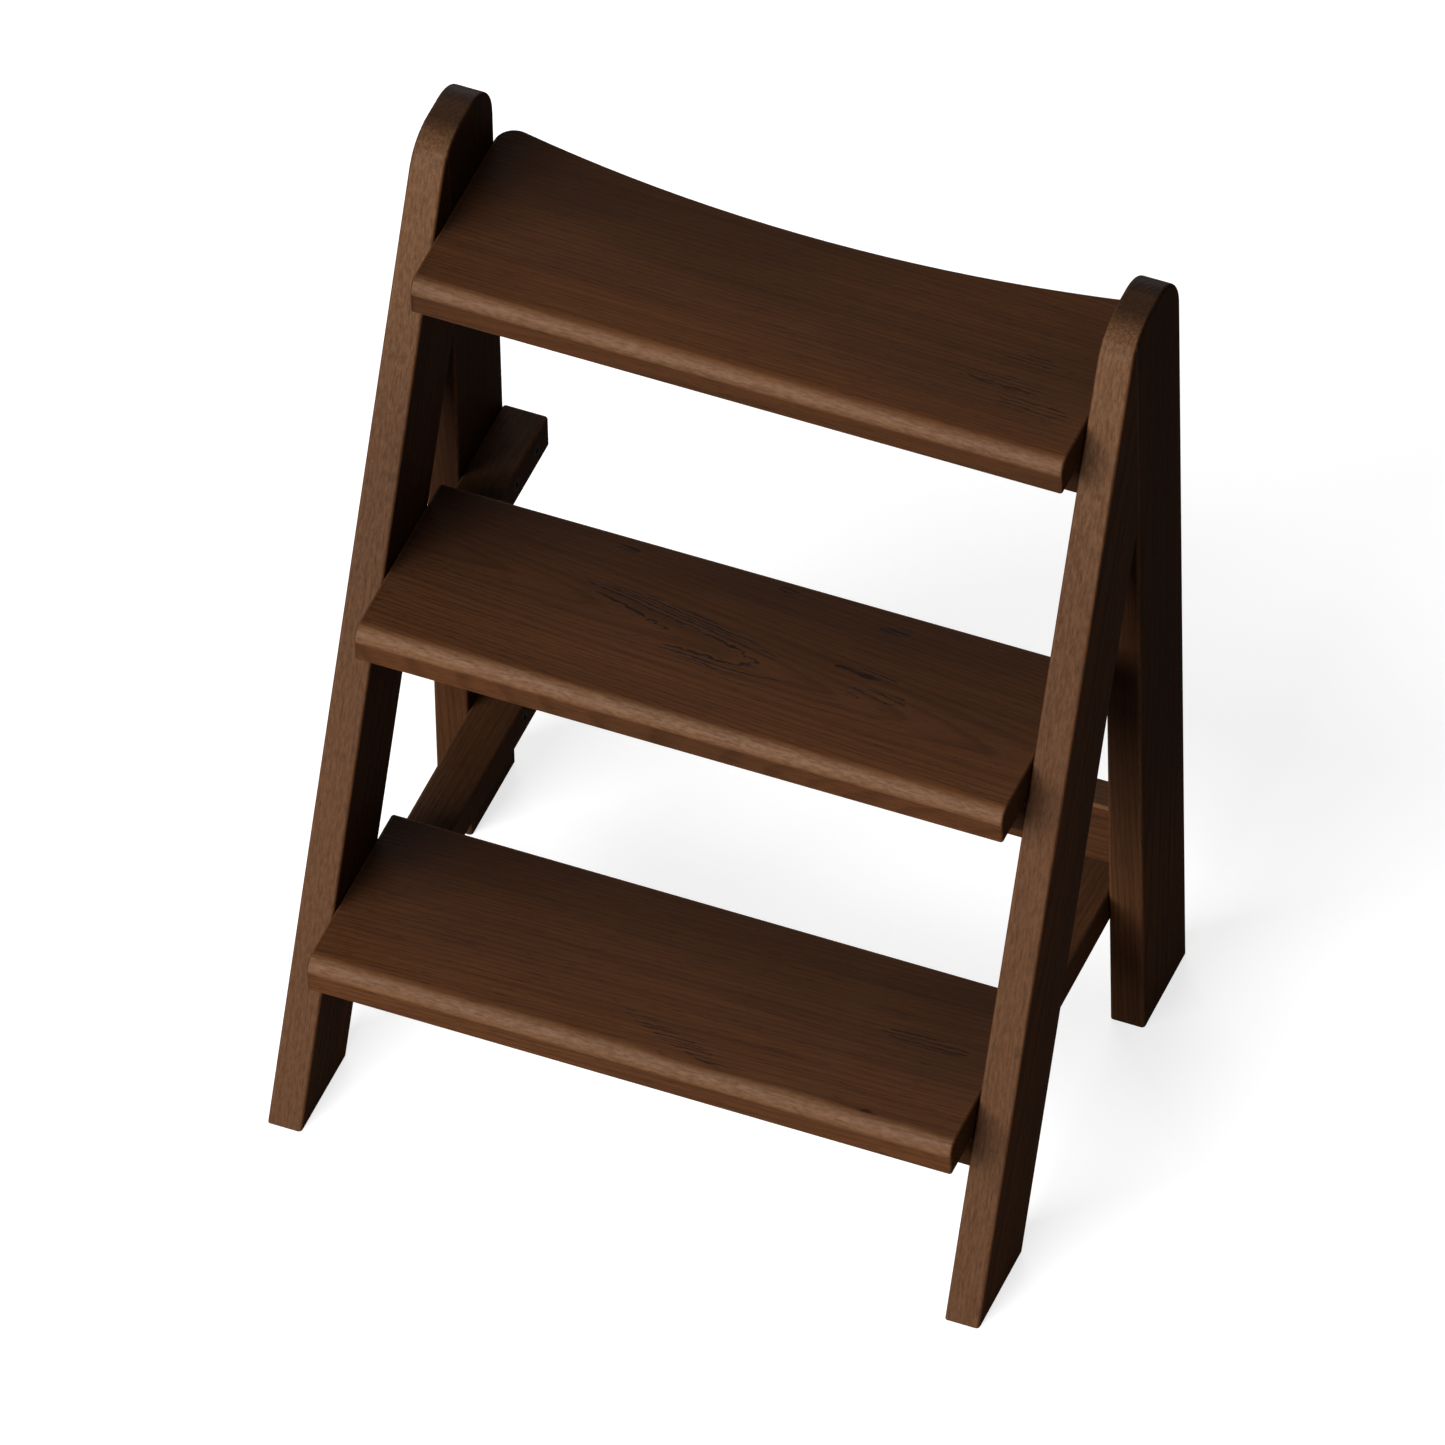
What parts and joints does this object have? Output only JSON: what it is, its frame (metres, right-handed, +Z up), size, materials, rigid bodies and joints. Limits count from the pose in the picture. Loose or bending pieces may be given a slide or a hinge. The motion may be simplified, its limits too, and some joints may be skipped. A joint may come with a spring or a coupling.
{
  "type": "spa steps",
  "caption": "Wooden spa steps with open risers: raked stringers, upright rear legs, rounded treads and a hollow top tread that follows a round tub.",
  "frame": {"origin": "on the floor, in the middle of the steps' width and of their overall depth", "axes": "+X across the steps to the right of someone facing the tub, +Y towards the tub, +Z up"},
  "size_m": [0.518, 0.3868, 0.661],
  "materials": {
    "stained_wood": "satin dark brown stain, brushed grain",
    "screw_steel": "black phosphated",
    "dowel_wood": "raw beech"
  },
  "bodies": {
    "root": {"left_stringer": "stained_wood", "right_stringer": "stained_wood", "left_rear_leg": "stained_wood", "right_rear_leg": "stained_wood", "bottom_tread": "stained_wood", "middle_tread": "stained_wood", "top_tread": "stained_wood", "rear_rail": "stained_wood", "left_bottom_cleat": "stained_wood", "left_middle_cleat": "stained_wood", "left_top_cleat": "stained_wood", "right_bottom_cleat": "stained_wood", "right_middle_cleat": "stained_wood", "right_top_cleat": "stained_wood", "bottom_tread_screws": "screw_steel", "middle_tread_screws": "screw_steel", "top_tread_screws": "screw_steel", "rail_screws": "screw_steel", "left_bottom_cleat_screws": "screw_steel", "left_middle_cleat_screws": "screw_steel", "left_top_cleat_screws": "screw_steel", "right_bottom_cleat_screws": "screw_steel", "right_middle_cleat_screws": "screw_steel", "right_top_cleat_screws": "screw_steel", "left_frame_dowels": "dowel_wood", "right_frame_dowels": "dowel_wood"}
  },
  "joints": []
}
